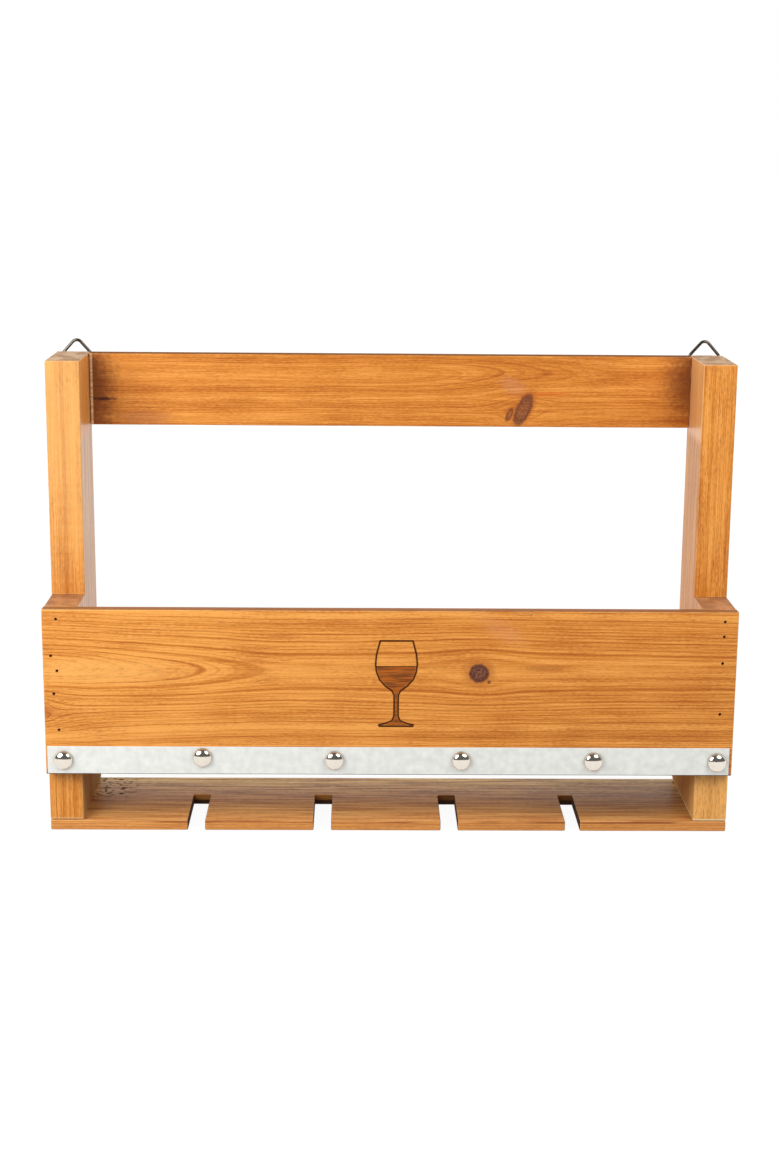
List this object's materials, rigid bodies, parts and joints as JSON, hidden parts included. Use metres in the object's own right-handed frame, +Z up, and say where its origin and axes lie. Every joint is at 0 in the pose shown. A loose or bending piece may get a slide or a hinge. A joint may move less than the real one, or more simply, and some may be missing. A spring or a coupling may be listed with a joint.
{
  "type": "wall wine rack",
  "caption": "Nailed pine wall rack: a front trough for standing bottles under a top rail, a slotted board below for hanging stemmed glasses, a steel trim strip and wire hanging rings.",
  "frame": {"origin": "middle of the footprint, on the plane of the glass rack board's underside", "axes": "+X to the right across the rack as seen from the room, +Y towards the wall, +Z up; the front board faces -Y"},
  "size_m": [0.4458, 0.1072, 0.315],
  "materials": {
    "stained_pine": "honey-stained pine under a satin clear coat",
    "galvanised_steel": "matt galvanised sheet with a faint mottle",
    "polished_nickel": "polished",
    "gunmetal_wire": "dark drawn wire, satin",
    "plated_steel": "zinc plated",
    "brad_steel": "dull, sunk below the wood's surface"
  },
  "bodies": {
    "frame": {"left_side_panel": "stained_pine", "right_side_panel": "stained_pine", "back_rail": "stained_pine", "lower_back_rail": "stained_pine", "front_board": "stained_pine", "trough_floor": "stained_pine", "glass_rack_board": "stained_pine", "trim_strip": "galvanised_steel", "dome_nail_1": "polished_nickel", "dome_nail_2": "polished_nickel", "dome_nail_3": "polished_nickel", "dome_nail_4": "polished_nickel", "dome_nail_5": "polished_nickel", "dome_nail_6": "polished_nickel", "hanger_strap_left": "plated_steel", "hanger_strap_right": "plated_steel", "hanger_screw_left": "plated_steel", "hanger_screw_right": "plated_steel", "front_board_brad_left_1": "brad_steel", "front_board_brad_left_2": "brad_steel", "front_board_brad_left_3": "brad_steel", "front_board_brad_left_4": "brad_steel", "front_board_brad_left_5": "brad_steel", "front_board_brad_right_1": "brad_steel", "front_board_brad_right_2": "brad_steel", "front_board_brad_right_3": "brad_steel", "front_board_brad_right_4": "brad_steel", "glass_rack_brad_left_1": "brad_steel", "glass_rack_brad_left_2": "brad_steel", "glass_rack_brad_left_3": "brad_steel", "glass_rack_brad_right_1": "brad_steel", "glass_rack_brad_right_2": "brad_steel", "glass_rack_brad_right_3": "brad_steel", "trough_floor_brad_left_1": "brad_steel", "trough_floor_brad_left_2": "brad_steel", "trough_floor_brad_left_3": "brad_steel", "trough_floor_brad_right_1": "brad_steel", "trough_floor_brad_right_2": "brad_steel", "trough_floor_brad_right_3": "brad_steel", "back_rail_brad_left_1": "brad_steel", "back_rail_brad_left_2": "brad_steel", "back_rail_brad_right_1": "brad_steel", "back_rail_brad_right_2": "brad_steel", "lower_rail_brad_left_1": "brad_steel", "lower_rail_brad_left_2": "brad_steel", "lower_rail_brad_right_1": "brad_steel", "lower_rail_brad_right_2": "brad_steel"},
    "ring_left": {"hanger_ring_left": "gunmetal_wire"},
    "ring_right": {"hanger_ring_right": "gunmetal_wire"}
  },
  "joints": [
    {"name": "ring_left_swing", "type": "hinge", "parent": "frame", "child": "ring_left", "pos_m": [-0.2096, 0.0512, 0.3009], "axis": [-1, 0, 0], "range_deg": [-20, 155]},
    {"name": "ring_right_swing", "type": "hinge", "parent": "frame", "child": "ring_right", "pos_m": [0.2104, 0.0512, 0.3025], "axis": [-1, 0, 0], "range_deg": [-20, 155]}
  ]
}
